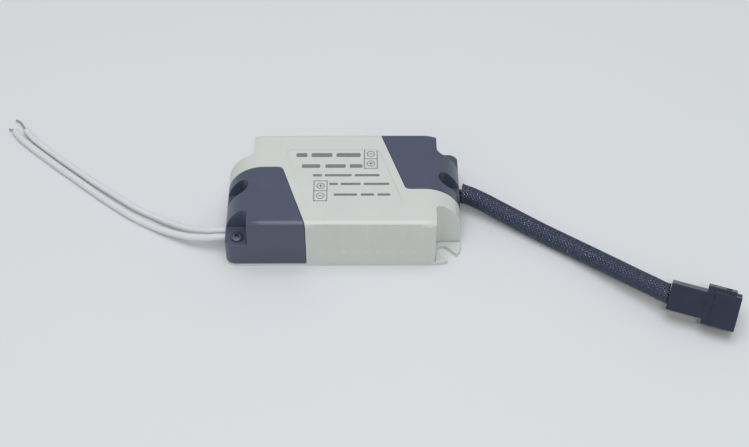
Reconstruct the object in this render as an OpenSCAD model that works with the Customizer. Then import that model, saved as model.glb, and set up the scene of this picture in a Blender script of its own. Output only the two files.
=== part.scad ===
// Mains LED driver in a two-tone plastic case, with two white input leads
// and a sleeved output lead that ends in a two-way wire-to-wire receptacle.
// Frame: origin at the centre of the underside, +X to the output end,
// +Y to the back, +Z up. All sizes are in millimetres.

/* [Case] */
// Length of the case, end to end
case_l = 71; // [69:1:82]
// Width of the case
case_w = 38; // [37:1:44]
// Height of the case
case_h = 18.5; // [18.5:0.5:24]
// Wall of the cover and of the end caps
wall = 1.6; // [1.2:0.1:1.8]
// Thickness of the base plate
base_t = 0.9; // [0.8:0.1:1.2]
// Radius of the sloping shoulder at each end
shoulder_r = 11.5; // [10:0.5:12.5]
// Rounding of the two long top edges
edge_r = 1.8; // [1.8:0.1:3]
// Rounding of the upright corners under the caps
corner_r = 3; // [2:0.25:3.5]
// Thickness of the locating rim inside the walls
rim_t = 1; // [0.8:0.1:1.2]
// Height of the locating rim above the base plate
rim_h = 0.9; // [0.6:0.1:1]

/* [Seam] */
// Distance from the middle to the seam on each long side
seam_side_x = 11.4; // [9:0.2:13]
// Distance from the middle to the corner of the seam
seam_corner_x = 18.8; // [16:0.2:20]
// Distance of the end run of the seam from the centre line
seam_y = 4.5; // [4:0.1:5]
// Rounding of the corner of the seam
seam_r = 1.4; // [0.8:0.1:2]
// Width of the open seam line
seam_gap = 0.2; // [0.1:0.05:0.3]

/* [Fixing ears] */
// Length of the corner notch over an ear
notch_l = 8; // [7:0.2:8.6]
// Depth of the corner notch, across the case
notch_w = 8.5; // [7.6:0.1:8.8]
// Rounding of the inner corner of the notch
notch_r = 2; // [1:0.25:2.5]
// Rounding of the two outer edges of the notch
notch_edge_r = 1; // [0.4:0.1:1.4]
// Thickness of an ear
ear_t = 1.4; // [1.3:0.1:2]
// Rounding of the outer corner of an ear
ear_r = 7.5; // [6:0.25:8]
// Width of the screw slot
slot_w = 3.7; // [3.2:0.1:4]
// Distance of the slot centre from the end of the case
slot_in_x = 5.6; // [5.2:0.1:6]
// Distance of the slot centre from the side of the case
slot_in_y = 4.9; // [4.5:0.1:5.1]

/* [Screw pockets] */
// Height of the pocket floors above the underside
pocket_z = 9; // [8.6:0.1:10]
// Length of the corner pocket in from the end
pocket_l = 7; // [6.6:0.1:7.2]
// Depth of the corner pocket in from the side
pocket_w = 7.4; // [6.8:0.1:7.8]
// Rounding of the inner corner of the pocket
pocket_r = 2; // [1:0.25:2.5]
// Width of the round scallop in the middle of the end
scallop_w = 5.4; // [4.8:0.1:5.6]
// Length of the scallop in from the end
scallop_l = 6.9; // [6.4:0.1:7]
// Distance of the scallop from the centre line, towards the cap's screw
scallop_y = 1.5; // [1.2:0.1:1.8]
// Distance of the cap screw from the end of the case
screw_in_x = 3.7; // [3.4:0.1:3.9]
// Distance of the cap screw from the side of the case
screw_in_y = 3.4; // [3.2:0.1:3.6]
// Diameter of the screw head
screw_head_d = 3.8; // [3.4:0.1:4.2]
// Height of the screw head
screw_head_h = 1; // [0.8:0.1:1.6]
// Diameter of the screw shank
screw_d = 1.8; // [1.6:0.1:2]
// Diameter of the post that takes the cap screw
post_d = 4.6; // [4.2:0.1:4.6]

/* [Side flutes and label panel] */
// Number of flutes on each long side
flute_n = 9; // [5:1:9]
// Spacing of the flutes
flute_pitch = 3.5; // [3:0.1:3.6]
// Depth of a flute
flute_depth = 0.35; // [0.2:0.05:0.5]
// Distance of the middle of the fluted zone from the middle of the case
flute_mid_x = 7; // [5:0.5:7.5]
// Height at which the flutes start
flute_z = 4; // [3:0.25:6]
// Height over which a flute fades out at its foot
flute_fade = 3; // [2:0.25:4]
// Length of the label panel
panel_l = 29; // [24:0.5:30]
// Depth of the label panel across the case
panel_w = 24; // [20:0.5:25]
// Rounding of the corners of the label panel
panel_r = 2; // [1:0.25:3]
// Sinking of the label panel below the top
panel_sink = 0.2; // [0.1:0.05:0.3]

/* [Circuit board] */
// Thickness of the board
board_t = 1; // [0.8:0.1:1.2]
// Height of the standoffs above the base plate
standoff_h = 2.2; // [1.8:0.1:2.2]
// Diameter of a standoff
standoff_d = 4; // [3.6:0.2:5]
// Diameter of the pin on a standoff
standoff_pin_d = 1.8; // [1.4:0.1:2.2]
// Distance of the standoffs from the ends of the board
standoff_in_x = 5; // [4:0.25:5.5]
// Distance of the standoffs from the long edges of the board
standoff_in_y = 2.4; // [2:0.1:2.8]
// Gap between the board and the walls
board_gap = 0.6; // [0.4:0.1:1]

/* [Components] */
// Length of the transformer core
core_l = 13; // [11:0.5:13]
// Width of the transformer core's legs
core_w = 6; // [5:0.5:6.5]
// Gap between the transformer core and the cover
core_gap = 0.9; // [0.6:0.1:1.6]
// Thickness of the core's outer legs
core_leg = 2; // [1.6:0.1:2.4]
// Diameter of the core's middle leg
core_mid_d = 3.2; // [2.8:0.1:3.6]
// Length of the bobbin across the core
bobbin_w = 13; // [11:0.5:13.5]
// Thickness of the bobbin's flanges and tube
bobbin_t = 0.7; // [0.5:0.1:0.8]
// Diameter of the input capacitor
input_cap_d = 8; // [6.5:0.5:8.5]
// Length of the input capacitor
input_cap_l = 13; // [11:0.5:13]
// Diameter of the output capacitor
output_cap_d = 8; // [6:0.5:8.5]
// Gap between the output capacitor and the cover
output_cap_gap = 1.1; // [0.6:0.1:2]
// Diameter of the input choke
choke_d = 7; // [6:0.5:8]
// Height of the input choke
choke_h = 8; // [6:0.5:9]
// Diameter of the safety capacitor's disc
disc_d = 8; // [6:0.5:8.5]
// Thickness of the safety capacitor's disc
disc_t = 3.2; // [2.6:0.2:3.6]
// Length of the driver chip
chip_l = 9.4; // [8:0.2:9.6]
// Width of the driver chip's body
chip_w = 5.6; // [5:0.2:6]
// Length of the bridge rectifier
bridge_l = 4.8; // [4:0.2:5.4]
// Diameter of the fuse resistor
fuse_d = 3; // [2.4:0.1:3.4]
// Length of the fuse resistor's body
fuse_l = 7; // [5.5:0.25:7.5]
// Diameter of the output diode
diode_d = 2.7; // [2.2:0.1:3]
// Length of the output diode's body
diode_l = 5.2; // [4.5:0.1:5.6]
// Diameter of the component leads
pin_d = 0.6; // [0.5:0.05:0.7]

/* [Leads and connector] */
// Diameter of an input lead over its insulation
wire_d = 2.16; // [1.8:0.02:2.2]
// Diameter of a tinned end
tip_d = 1; // [0.8:0.1:1.2]
// Distance of the nearer input lead from the centre line
wire_y = 9.2; // [9:0.1:9.3]
// Spacing of the two input leads at the case
wire_pitch = 2.8; // [2.6:0.1:2.9]
// Diameter of the braided sleeve
sleeve_d = 5.9; // [5:0.1:6]
// Distance of the sleeve from the centre line where it crosses the wall
sleeve_y = 6; // [5.7:0.1:6.3]
// Diameter of an output lead inside the case
lead_d = 1.6; // [1.2:0.1:1.7]
// Length of the connector's rear block
rear_l = 10.4; // [9:0.2:12]
// Width of the rear block
rear_w = 6.4; // [6.2:0.1:7]
// Height of the rear block
rear_h = 8; // [7.4:0.1:8.4]
// Length of the connector's front shell
shell_l = 9.6; // [9:0.2:10.4]
// Width of the front shell
shell_w = 7.6; // [7.2:0.1:8]
// Wall of the front shell
shell_wall = 1; // [0.8:0.1:1.1]
// Pitch of the two contacts
contact_pitch = 2.5; // [2.4:0.1:2.6]
// Thickness of a contact pin
contact_t = 0.8; // [0.6:0.1:1]

/* [Hidden] */
$fn = 64;
// Clearance of a sliding or seated fit
fit = 0.15;
// Overshoot of a cut
cut = 2;
// Gap between a piece and what it rests on
rest_gap = 0.02;
// Reach of a corner cut beyond the sides of its corner
over = 0.5;
// Number of facets in a round corner of a leaning outline
arc_n = 12;

half_l = case_l / 2;
half_w = case_w / 2;
notch_x = half_l - notch_l;
notch_y = half_w - notch_w;
seam_lean = atan((seam_corner_x - seam_side_x) / (half_w + seam_y));
slot_x = half_l - slot_in_x;
slot_y = half_w - slot_in_y;
screw_x = half_l - screw_in_x;
screw_y = half_w - screw_in_y;
screw_tail = 1.4;
screw_end_z = base_t + screw_tail;
screw_bite = 0.05;
post_bore_d = screw_d + 2 * screw_bite;
flute_land = 0.3;
flute_foot = 1.5;
flute_half = (flute_pitch - flute_land) / 2;
flute_r = (pow(flute_half, 2) + pow(flute_depth, 2)) / (2 * flute_depth);

board_l = 2 * (notch_x - wall - board_gap);
board_w = case_w - 2 * (wall + fit + rim_t + board_gap);
board_z = base_t + standoff_h;
board_top = board_z + board_t;
standoff_x = board_l / 2 - standoff_in_x;
standoff_y = board_w / 2 - standoff_in_y;
pin_proud = 0.6;

// Places of the components on the board
trafo_pos = [6.2, -4];
input_cap_pos = [-8.6, -8.4];
output_cap_pos = [18.4, -6];
choke_pos = [-17.8, 3.6];
bridge_pos = [-14.6, 10.8];
chip_pos = [-5.2, 8.6];
disc_pos = [5.6, 9.6];
fuse_pos = [-18.6, -6];
diode_pos = [14.4, 7.2];
body_lift = 0.5;
inner_top = case_h - wall;
core_z = board_top + body_lift + bobbin_t;
core_h = inner_top - core_gap - core_z;
output_cap_h = inner_top - output_cap_gap - board_top;
chip_h = 3.2;
chip_leg_n = 4;
chip_leg_pitch = 2.2;
chip_leg_w = 0.7;
chip_leg_t = 0.4;
bridge_w = 3.8;
bridge_h = 2.4;
small_part = [1.6, 0.9, 0.55];
small_n = 6;
small_pitch = 2.4;
small_start = [-13.2, 2.6];
can_bead_in = 2;
can_bead_d = 0.5;
winding_in = 0.25;
choke_flange_t = 1.2;
choke_neck = 1;

// Input leads: the height at which they cross the wall, and their routes
wire_z = board_top + wire_d / 2 + rest_gap;
wire_in = 11.5;
floor_z = wire_d / 2 + rest_gap;
near_route = [[-41.3, -8.8, 4.6], [-45.3, -7.4, 3.5], [-49.3, -5.5, 2.4], [-54.1, -2.7, 1.5],
  [-58.8, 0.1, floor_z], [-64.3, 3.3, floor_z], [-69.3, 7, floor_z], [-74.7, 11.2, floor_z],
  [-80.3, 15.7, floor_z], [-85.3, 20, floor_z], [-89.6, 23.7, floor_z], [-93.6, 27.2, floor_z],
  [-97.8, 31, floor_z], [-101.5, 34.6, floor_z], [-104.5, 38.4, floor_z]];
far_route = [[-41.3, -11.7, 4.6], [-46.3, -10.4, 3.4], [-51.3, -8.2, 2.3], [-56.3, -5.6, 1.5],
  [-61.3, -2.6, floor_z], [-66.3, 0.6, floor_z], [-71.5, 4.6, floor_z], [-76.9, 9, floor_z],
  [-82.3, 13.7, floor_z], [-87.7, 18.4, floor_z], [-92.2, 22.3, floor_z], [-96.6, 26.3, floor_z],
  [-101.1, 30.4, floor_z], [-105.1, 34.3, floor_z], [-108.1, 38.1, floor_z]];
near_tip = [[-104.5, 38.4, floor_z], [-105.9, 40.8, 1], [-107.2, 42.8, 0.8], [-108.7, 43.8, 0.7]];
far_tip = [[-108.1, 38.1, floor_z], [-109.1, 38.9, 1], [-110.2, 39.4, 0.7]];

// Output lead: where the sleeve starts outside the wall, its heading and its route
sleeve_heading = -20;
sleeve_lift = 2.45;
sleeve_z = sleeve_d / 2 + sleeve_lift;
sleeve_exit = [half_l, sleeve_y, sleeve_z];
sleeve_dir = [cos(sleeve_heading), sin(sleeve_heading), 0];
sleeve_off = (sleeve_d / 2 * sin(-sleeve_heading) + fit) / cos(sleeve_heading);
sleeve_start = sleeve_exit + sleeve_dir * sleeve_off;
sleeve_floor = sleeve_d / 2 + rest_gap;
lead_len = 14.6;
lead_gap = 0.2;
lead_z = board_top + lead_d / 2 + rest_gap;
clamp_t = 2;
clamp_x = notch_x + 2 * fit;
clamp_web = 1.4;

// Connector: place, heading and roll, with the hood turned away from the front
conn_heading = -20;
conn_roll = -40;
collar_l = 2;
collar_in = 0.3;
shell_below = 1.3;
shell_above = 0.8;
shell_h = rear_h + shell_below + shell_above;
shell_low = -rear_h / 2 - shell_below;
mouth_back = 0.8;
mouth_l = shell_l - mouth_back;
hood_w = 4.4;
hood_h = 1;
hood_wall = 0.8;
hood_setback = 1.6;
hood_l = 8.2;
window_l = 1.6;
contact_lift = 2.6;
contact_z = contact_lift - rear_h / 2;
cavity = 2;
lance_slot = [2.6, 1.2];
lance_x = 4;
contact_in = 1.2;
contact_reach = mouth_l - contact_in;
conn_dir = [cos(conn_heading), sin(conn_heading), 0];
conn_z = shell_w / 2 * sin(-conn_roll) - shell_low * cos(conn_roll) + rest_gap;
conn_pos = [94.7, -35.8, conn_z];
sleeve_route = concat([sleeve_start], [[39.2, 4.6, 5.2], [43.2, 2.5, 4.7], [47.2, 0.1, 4.1],
  [51.2, -2.4, 3.6], [55.7, -5.4, 3.2], [60.7, -8.8, sleeve_floor], [65.9, -12.4, sleeve_floor],
  [70.7, -15.9, 3.2], [75.2, -19.5, 3.7], [79.2, -23, 4.4], [83.2, -26.4, 5], [87.2, -29.8, 5.6],
  [90.5, -32.5, 6.1], [92.7, -34.4, 6.4]], [conn_pos - rest_gap * conn_dir]);

// Copies a shape to both ends, turned half round about the upright axis
module both_ends() {
  children();
  rotate(180) children();
}

// Flat rectangle with round corners, centred
module round_rect(l, w, r) {
  square([l - 2 * r, w], center = true);
  square([l, w - 2 * r], center = true);
  for (sx = [-1, 1], sy = [-1, 1]) translate([sx * (l / 2 - r), sy * (w / 2 - r)]) circle(r);
}

// Quarter plane beyond (x, y) towards +X and +Y, with its corner rounded
module corner_area(x, y, r) {
  translate([x + r, y]) square(case_l);
  translate([x, y + r]) square(case_l);
  translate([x + r, y + r]) circle(r);
}

// Sliver to cut from a corner at the origin whose sides leave at angles a and b, to round it
module corner_sliver(a, b, r) {
  half = (b - a) / 2;
  reach = r / tan(half);
  bisector = [cos(a + half), sin(a + half)] / sin(half);
  end_a = reach * [cos(a), sin(a)];
  end_b = reach * [cos(b), sin(b)];
  middle = r * bisector;
  difference() {
    polygon([-over * bisector, end_a + over * [sin(a), -cos(a)], end_a, middle, end_b,
      end_b + over * [-sin(b), cos(b)]]);
    translate(middle) circle(r);
  }
}

// Points of a round corner at p that turns left, between sides that arrive at angle a and leave at b
function round_corner(p, r, a, b) =
  let (half = (180 - b + a) / 2, middle = p + r / sin(half) * [cos(b + half), sin(b + half)])
  [for (k = [0 : arc_n]) let (turn = a - 90 + (b - a) * k / arc_n) middle + r * [cos(turn), sin(turn)]];

// Plan of the notch over the front right ear, grown by g
module notch_plan(g) {
  mirror([0, 1]) corner_area(notch_x - g, notch_y - g, notch_r + g);
}

// Plan of the closed case, drawn in by g
module case_plan(g) {
  difference() {
    round_rect(case_l - 2 * g, case_w - 2 * g, max(corner_r - g, 0.3));
    both_ends() notch_plan(g);
    both_ends() if (notch_edge_r > g) {
      translate([notch_x - g, g - half_w]) corner_sliver(90, 180, notch_edge_r - g);
      translate([half_l - g, g - notch_y]) corner_sliver(90, 180, notch_edge_r - g);
    }
  }
}

// Half section of an end shoulder, out from its axis, drawn in by g, with round edges
module shoulder_section(g) {
  r = max(edge_r - g, 0.2);
  reach = shoulder_r - g;
  half = half_w - g;
  translate([0, -half]) square([reach - r, 2 * half]);
  translate([0, r - half]) square([reach, 2 * (half - r)]);
  for (s = [-1, 1]) translate([reach - r, s * (half - r)]) circle(r);
}

// Cross section of the case in Y and Z, drawn in by g, with its round top edges
module side_profile(g) {
  r = max(edge_r - g, 0.2);
  half = half_w - g;
  top = case_h - g;
  translate([-half, -cut]) square([2 * half, top - r + cut]);
  translate([r - half, -cut]) square([2 * (half - r), top + cut]);
  for (s = [-1, 1]) translate([s * (half - r), top - r]) circle(r);
}

// Solid form of the closed case, drawn in by g, from z up, with its long edges rolled over the shoulders
module case_form(g, z) {
  x = half_l - shoulder_r;
  low = case_h - shoulder_r;
  intersection() {
    union() {
      rotate([90, 0, 90]) linear_extrude(2 * x, center = true) side_profile(g);
      both_ends() {
        translate([x, 0, low]) rotate([90, 0, 0]) rotate_extrude(angle = 90) shoulder_section(g);
        translate([x, -half_w, -cut]) cube([shoulder_r - g, case_w, low + cut]);
      }
    }
    translate([0, 0, z]) linear_extrude(case_h) case_plan(g);
  }
}

// X of the seam at y, on the output half, moved out from the cap by g
function seam_x(y, g) = seam_side_x + (half_w - y) * tan(seam_lean) - g / cos(seam_lean);

// Plan of the output cap, grown by g
module cap_plan(g) {
  low = -seam_y - g;
  polygon(concat(
    [[seam_x(case_w, g), case_w]],
    round_corner([seam_x(low, g), low], seam_r + g, seam_lean - 90, 0),
    [[case_l, low], [case_l, case_w]]));
}

// The screw pocket and the scallop of the output cap, grown by g
module cap_pockets(g) {
  round_x = half_l - scallop_l + scallop_w / 2;
  reach = scallop_w / 2 + g;
  translate([0, 0, pocket_z - g]) linear_extrude(case_h) {
    corner_area(half_l - pocket_l - g, half_w - pocket_w - g, pocket_r + g);
    translate([round_x, scallop_y]) circle(reach);
    translate([round_x, scallop_y - reach]) square([case_l, 2 * reach]);
  }
}

// End cap of the output half, without the openings for its lead
module end_cap() {
  difference() {
    intersection() {
      difference() {
        case_form(0, base_t);
        cap_pockets(0);
      }
      linear_extrude(2 * case_h) cap_plan(0);
    }
    difference() {
      case_form(wall, -cut);
      cap_pockets(wall);
    }
    translate([screw_x, screw_y, 0]) cylinder(d = screw_d + 2 * fit, h = case_h);
  }
}

// Plan of the base plate: round at the caps, and rounder at the ears
module base_plan() {
  difference() {
    round_rect(case_l, case_w, corner_r);
    both_ends() translate([half_l, -half_w]) corner_sliver(90, 180, ear_r);
  }
}

// Screw slot of the front right ear, open at the corner
module ear_slot() {
  translate([slot_x, -slot_y]) {
    circle(d = slot_w);
    rotate(-45) translate([0, -slot_w / 2]) square([case_w, slot_w]);
  }
}

// Thickening of the front right ear
module ear_pad() {
  linear_extrude(ear_t) intersection() {
    base_plan();
    notch_plan(-fit);
  }
}

// Post for the output cap's screw, flat where it meets the walls
module screw_post() {
  intersection() {
    translate([screw_x, screw_y, 0]) cylinder(d = post_d, h = pocket_z - wall);
    linear_extrude(case_h) case_plan(wall + fit);
  }
}

// Standoff with its pin, at the origin
module standoff() {
  cylinder(d = standoff_d, h = board_z);
  cylinder(d = standoff_pin_d, h = board_top + pin_proud);
}

module standoff_places() {
  for (sx = [-1, 1], sy = [-1, 1]) translate([sx * standoff_x, sy * standoff_y, 0]) children();
}

module base_tray() {
  color("whitesmoke") difference() {
    union() {
      linear_extrude(base_t) base_plan();
      both_ends() ear_pad();
      linear_extrude(base_t + rim_h) difference() {
        case_plan(wall + fit);
        case_plan(wall + fit + rim_t);
      }
      both_ends() screw_post();
      standoff_places() standoff();
    }
    translate([0, 0, -cut]) linear_extrude(case_h) both_ends() ear_slot();
    both_ends() translate([screw_x, screw_y, screw_end_z]) cylinder(d = post_bore_d, h = case_h);
  }
}

// Row of shallow upright flutes on the front side
module flutes() {
  depth_y = flute_r - flute_depth;
  for (i = [0 : flute_n - 1])
    translate([flute_mid_x + (i - (flute_n - 1) / 2) * flute_pitch, -half_w - depth_y, flute_z]) {
      cylinder(r1 = flute_r - flute_foot * flute_depth, r2 = flute_r, h = flute_fade, $fn = 96);
      translate([0, 0, flute_fade]) cylinder(r = flute_r, h = case_h, $fn = 96);
    }
}

// Label panel: a leaning rectangle with round corners, parallel to the seam
module label_plan() {
  lean = tan(seam_lean);
  y = panel_w / 2;
  x = panel_l / 2;
  polygon(concat(
    round_corner([-x + y * lean, -y], panel_r, seam_lean - 90, 0),
    round_corner([x + y * lean, -y], panel_r, 0, 90 + seam_lean),
    round_corner([x - y * lean, y], panel_r, 90 + seam_lean, 180),
    round_corner([-x - y * lean, y], panel_r, 180, 270 + seam_lean)));
}

module top_cover() {
  color("white") difference() {
    case_form(0, base_t);
    case_form(wall, -cut);
    translate([0, 0, -cut]) linear_extrude(2 * case_h) both_ends() cap_plan(seam_gap);
    both_ends() flutes();
    translate([0, 0, case_h - panel_sink]) linear_extrude(cut) label_plan();
  }
}

module input_end_cap() {
  color("slategray") difference() {
    rotate(180) end_cap();
    for (i = [0, 1]) translate([-half_l - cut, -wire_y - i * wire_pitch, wire_z])
      rotate([0, 90, 0]) cylinder(d = wire_d + 2 * fit, h = wall + 2 * cut);
  }
}

module output_end_cap() {
  color("slategray") difference() {
    end_cap();
    lead_slot();
  }
}

module cap_screws() {
  color("silver") both_ends() translate([screw_x, screw_y, 0]) {
    translate([0, 0, screw_end_z]) cylinder(d = screw_d, h = pocket_z - screw_end_z + screw_head_h / 2);
    translate([0, 0, pocket_z]) cylinder(d = screw_head_d, h = screw_head_h);
  }
}

module circuit_board() {
  color("darkgoldenrod") difference() {
    translate([0, 0, board_z]) linear_extrude(board_t) square([board_l, board_w], center = true);
    standoff_places() cylinder(d = standoff_pin_d + 2 * fit, h = case_h);
  }
}

// Moves a component to its place on top of the board
module on_board(place) {
  translate([place[0], place[1], board_top]) children();
}

module transformer_core() {
  inside = core_l - 2 * core_leg;
  color("dimgray") on_board(trafo_pos) translate([0, 0, core_z - board_top]) {
    difference() {
      translate([-core_l / 2, -core_w / 2, 0]) cube([core_l, core_w, core_h]);
      translate([-inside / 2, -core_w, core_leg]) cube([inside, 2 * core_w, core_h - 2 * core_leg]);
    }
    cylinder(d = core_mid_d, h = core_h);
  }
}

module transformer_bobbin() {
  inside = core_l - 2 * core_leg - 2 * fit;
  span = core_h - 2 * core_leg - 2 * fit;
  lift = body_lift + bobbin_t + core_leg + fit;
  bore = core_mid_d + 2 * fit;
  color("ivory") on_board(trafo_pos) {
    translate([0, 0, lift]) difference() {
      union() {
        for (z = [0, span - bobbin_t])
          translate([-inside / 2, -bobbin_w / 2, z]) cube([inside, bobbin_w, bobbin_t]);
        cylinder(d = bore + 2 * bobbin_t, h = span);
      }
      translate([0, 0, -cut]) cylinder(d = bore, h = case_h);
    }
    for (s = [-1, 1]) translate([-inside / 2, s * (bobbin_w - bobbin_t) / 2 - bobbin_t / 2, 0])
      cube([inside, bobbin_t, lift + bobbin_t]);
  }
}

module transformer_winding() {
  span = core_h - 2 * core_leg - 2 * fit - 2 * bobbin_t;
  lift = body_lift + 2 * bobbin_t + core_leg + fit;
  tube_d = core_mid_d + 2 * fit + 2 * bobbin_t;
  outer_d = core_l - 2 * core_leg - 2 * fit - 2 * winding_in;
  color("gold") on_board(trafo_pos) translate([0, 0, lift]) difference() {
    cylinder(d = outer_d, h = span);
    translate([0, 0, -cut]) cylinder(d = tube_d, h = case_h);
  }
}

// Can of an electrolytic capacitor along +Z, with its rolled bead near the foot
module can(d, l) {
  rotate_extrude() difference() {
    square([d / 2, l]);
    translate([d / 2 + can_bead_d / 4, can_bead_in]) circle(d = can_bead_d);
  }
}

module input_capacitor() {
  color("midnightblue") on_board(input_cap_pos)
    translate([-input_cap_l / 2, 0, input_cap_d / 2]) rotate([0, 90, 0]) can(input_cap_d, input_cap_l);
}

module output_capacitor() {
  color("midnightblue") on_board(output_cap_pos) can(output_cap_d, output_cap_h);
}

module input_choke() {
  neck_d = choke_d - 2 * choke_neck;
  color("darkslategray") on_board(choke_pos) {
    cylinder(d = choke_d, h = choke_flange_t);
    cylinder(d = neck_d, h = choke_h);
    translate([0, 0, choke_h - choke_flange_t]) cylinder(d = choke_d, h = choke_flange_t);
  }
}

module safety_capacitor() {
  leg_h = body_lift + disc_d / 2;
  color("royalblue") on_board(disc_pos) {
    translate([0, disc_t / 2, leg_h]) rotate([90, 0, 0]) cylinder(d = disc_d, h = disc_t);
    for (s = [-1, 1]) translate([s * disc_d / 4, 0, 0]) cylinder(d = pin_d, h = leg_h);
  }
}

module driver_chip() {
  row = (chip_leg_n - 1) / 2;
  color("black") on_board(chip_pos) {
    translate([-chip_l / 2, -chip_w / 2, body_lift]) cube([chip_l, chip_w, chip_h]);
    for (i = [0 : chip_leg_n - 1], s = [-1, 1])
      translate([(i - row) * chip_leg_pitch - chip_leg_w / 2, s * (chip_w + chip_leg_t) / 2 - chip_leg_t / 2, 0])
        cube([chip_leg_w, chip_leg_t, body_lift + chip_h / 2]);
  }
}

module bridge_rectifier() {
  color("black") on_board(bridge_pos)
    translate([-bridge_l / 2, -bridge_w / 2, 0]) cube([bridge_l, bridge_w, bridge_h]);
}

// Body lying along Y on two bent leads
module axial_part(d, l) {
  z = d / 2 + body_lift;
  foot = l / 2 + 2 * pin_d;
  translate([0, l / 2, z]) rotate([90, 0, 0]) cylinder(d = d, h = l);
  translate([0, foot + pin_d / 2, z]) rotate([90, 0, 0]) cylinder(d = pin_d, h = 2 * foot + pin_d);
  for (s = [-1, 1]) translate([0, s * foot, 0]) cylinder(d = pin_d, h = z);
}

module fuse_resistor() {
  color("seagreen") on_board(fuse_pos) axial_part(fuse_d, fuse_l);
}

module output_diode() {
  color("black") on_board(diode_pos) axial_part(diode_d, diode_l);
}

module small_parts() {
  color("gray") for (i = [0 : small_n - 1])
    on_board(small_start + [i * small_pitch, 0]) cube(small_part);
}

// Comb on the base plate that holds leads from below, open at the top
module clamp_block(y0, y1) {
  translate([clamp_x, y0, base_t]) cube([clamp_t, y1 - y0, pocket_z - wall - base_t]);
}

module input_clamp() {
  first = -wire_y + wire_d / 2 + clamp_web;
  last = -wire_y - wire_pitch - wire_d / 2 - fit - clamp_web / 2;
  color("whitesmoke") difference() {
    mirror([1, 0, 0]) clamp_block(last, first);
    for (i = [0, 1]) translate([-half_l, -wire_y - i * wire_pitch, wire_z]) {
      rotate([0, 90, 0]) cylinder(d = wire_d + 2 * fit, h = half_l);
      translate([0, -wire_d / 2 - fit, 0]) cube([half_l, wire_d + 2 * fit, case_h]);
    }
  }
}

// Axis of the pair of output leads, from the start of the sleeve back over the board
module lead_axis() {
  translate([sleeve_start[0], sleeve_start[1], lead_z]) rotate([0, -90, sleeve_heading]) children();
}

// Axes of the two output leads
module lead_places() {
  lead_axis() for (s = [-1, 1]) translate([0, s * (lead_d + lead_gap) / 2, 0]) children();
}

// Opening for the pair of output leads, with round sides
module lead_slot() {
  bore = lead_d + 2 * fit;
  pitch = lead_d + lead_gap;
  lead_places() cylinder(d = bore, h = lead_len);
  lead_axis() translate([-bore / 2, -pitch / 2, 0]) cube([bore, pitch, lead_len]);
}

module output_clamp() {
  middle = sleeve_start[1] + (sleeve_start[0] - clamp_x - clamp_t / 2) * tan(-sleeve_heading);
  half = lead_d + lead_gap / 2 + fit + clamp_web;
  color("whitesmoke") difference() {
    clamp_block(middle - half, middle + half);
    lead_places() {
      cylinder(d = lead_d + 2 * fit, h = lead_len);
      translate([0, -lead_d / 2 - fit, 0]) cube([case_h, lead_d + 2 * fit, lead_len]);
    }
  }
}

module output_leads() {
  color("dimgray") lead_places() translate([0, 0, rest_gap]) cylinder(d = lead_d, h = lead_len);
}

function unit(v) = v / norm(v);

// Direction of a route at its point i, from the points on both sides
function run_dir(p, i) = unit(p[min(i + 1, len(p) - 1)] - p[max(i - 1, 0)]);

// Ring of points about a centre, square to a direction
function ring(c, dir, r, sides) =
  let (across = unit(cross(dir, [0, 0, 1])), up = cross(across, dir))
  [for (k = [0 : sides - 1]) c + r * (cos(360 * k / sides) * across + sin(360 * k / sides) * up)];

// Round tube swept along a route, its ends square to the given directions
module cord(route, d, sides, first_dir, last_dir) {
  last = len(route) - 1;
  dirs = [for (i = [0 : last]) i == 0 ? first_dir : i == last ? last_dir : run_dir(route, i)];
  points = [for (i = [0 : last]) each ring(route[i], dirs[i], d / 2, sides)];
  walls = [for (i = [0 : last - 1], k = [0 : sides - 1])
    let (a = i * sides + k, b = i * sides + (k + 1) % sides) each [[a, b, b + sides], [a, b + sides, a + sides]]];
  ends = [[for (k = [0 : sides - 1]) sides - 1 - k], [for (k = [0 : sides - 1]) last * sides + k]];
  polyhedron(points, concat(walls, ends), convexity = 8);
}

// Input lead: straight from the board through the wall, then along its route
module input_wire(y, route) {
  straight = [for (x = [wire_in, wire_in / 2, 0, -3]) [x - half_l, -y, wire_z]];
  path = concat(straight, route);
  cord(path, wire_d, 8, [-1, 0, 0], run_dir(path, len(path) - 1));
}

module input_wire_near() {
  color("white") input_wire(wire_y, near_route);
}

module input_wire_far() {
  color("white") input_wire(wire_y + wire_pitch, far_route);
}

module wire_tips() {
  color("silver") {
    cord(near_tip, tip_d, 8, run_dir(near_route, len(near_route) - 1), run_dir(near_tip, len(near_tip) - 1));
    cord(far_tip, tip_d, 8, run_dir(far_route, len(far_route) - 1), run_dir(far_tip, len(far_tip) - 1));
  }
}

module braided_sleeve() {
  color("black") cord(sleeve_route, sleeve_d, 12, sleeve_dir, conn_dir);
}

// Moves the connector from its own frame, with +X the way it mates, to where it lies
module place_connector() {
  translate(conn_pos) rotate([0, 0, conn_heading]) rotate([conn_roll, 0, 0]) children();
}

// Block from x0 to x1, w wide about the axis, from z0 to z1
module slab(x0, x1, w, z0, z1) {
  translate([x0, -w / 2, z0]) cube([x1 - x0, w, z1 - z0]);
}

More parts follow.
